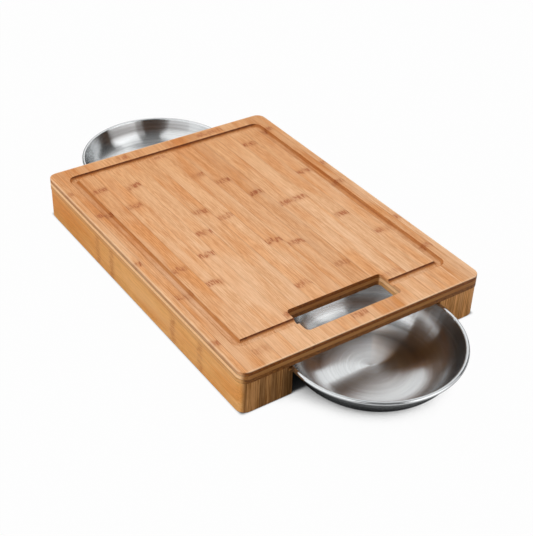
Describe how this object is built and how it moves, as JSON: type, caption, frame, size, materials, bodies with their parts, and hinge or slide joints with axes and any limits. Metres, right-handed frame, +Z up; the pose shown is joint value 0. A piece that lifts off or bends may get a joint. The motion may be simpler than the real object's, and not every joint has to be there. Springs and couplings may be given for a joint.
{
  "type": "cutting board with drawer trays",
  "caption": "Bamboo cutting board on two side rails, with a juice groove, a sweep slot and round steel bowls that slide out from under both ends to catch cut food.",
  "frame": {"origin": "bottom centre of the whole object, on the counter, with both bowls drawn out as they rest", "axes": "+X to the right across the board, +Y along it to the back, away from the sweep slot, +Z up"},
  "size_m": [0.325, 0.6634, 0.056],
  "materials": {
    "bamboo_top": "oiled carbonised bamboo, satin, grain along the board",
    "bamboo_core": "pale bamboo core, grain across the board",
    "bamboo_under": "oiled bamboo, grain along the board",
    "bamboo_rail": "oiled laminated bamboo, end grain showing at the ends",
    "bowl_steel": "stainless steel, spun brushing round the centre, bright rolled rim"
  },
  "bodies": {
    "board": {"bottom_ply": "bamboo_under", "core_ply": "bamboo_core", "left_rail_lamination_1": "bamboo_rail", "left_rail_lamination_2": "bamboo_rail", "left_rail_lamination_3": "bamboo_rail", "left_rail_lamination_4": "bamboo_rail", "left_rail_lamination_5": "bamboo_rail", "left_rail_lamination_6": "bamboo_rail", "left_rail_lamination_7": "bamboo_rail", "left_rail_lamination_8": "bamboo_rail", "left_runner": "bamboo_rail", "right_rail_lamination_1": "bamboo_rail", "right_rail_lamination_2": "bamboo_rail", "right_rail_lamination_3": "bamboo_rail", "right_rail_lamination_4": "bamboo_rail", "right_rail_lamination_5": "bamboo_rail", "right_rail_lamination_6": "bamboo_rail", "right_rail_lamination_7": "bamboo_rail", "right_rail_lamination_8": "bamboo_rail", "right_runner": "bamboo_rail", "top_stave_left_1_back": "bamboo_top", "top_stave_left_1_front": "bamboo_top", "top_stave_left_2_back": "bamboo_top", "top_stave_left_2_front": "bamboo_top", "top_stave_left_3": "bamboo_top", "top_stave_left_4": "bamboo_top", "top_stave_left_5": "bamboo_top", "top_stave_left_6": "bamboo_top", "top_stave_left_7": "bamboo_top", "top_stave_left_8": "bamboo_top", "top_stave_middle_back": "bamboo_top", "top_stave_middle_front": "bamboo_top", "top_stave_right_1_back": "bamboo_top", "top_stave_right_1_front": "bamboo_top", "top_stave_right_2_back": "bamboo_top", "top_stave_right_2_front": "bamboo_top", "top_stave_right_3": "bamboo_top", "top_stave_right_4": "bamboo_top", "top_stave_right_5": "bamboo_top", "top_stave_right_6": "bamboo_top", "top_stave_right_7": "bamboo_top", "top_stave_right_8": "bamboo_top"},
    "front_bowl": {"front_bowl": "bowl_steel"},
    "back_bowl": {"back_bowl": "bowl_steel"}
  },
  "joints": [
    {"name": "front_bowl_slide", "type": "slide", "parent": "board", "child": "front_bowl", "axis": [0, -1, 0], "range_m": [-0.1308, 0.0967]},
    {"name": "back_bowl_slide", "type": "slide", "parent": "board", "child": "back_bowl", "axis": [0, 1, 0], "range_m": [-0.1213, 0.1062]}
  ]
}
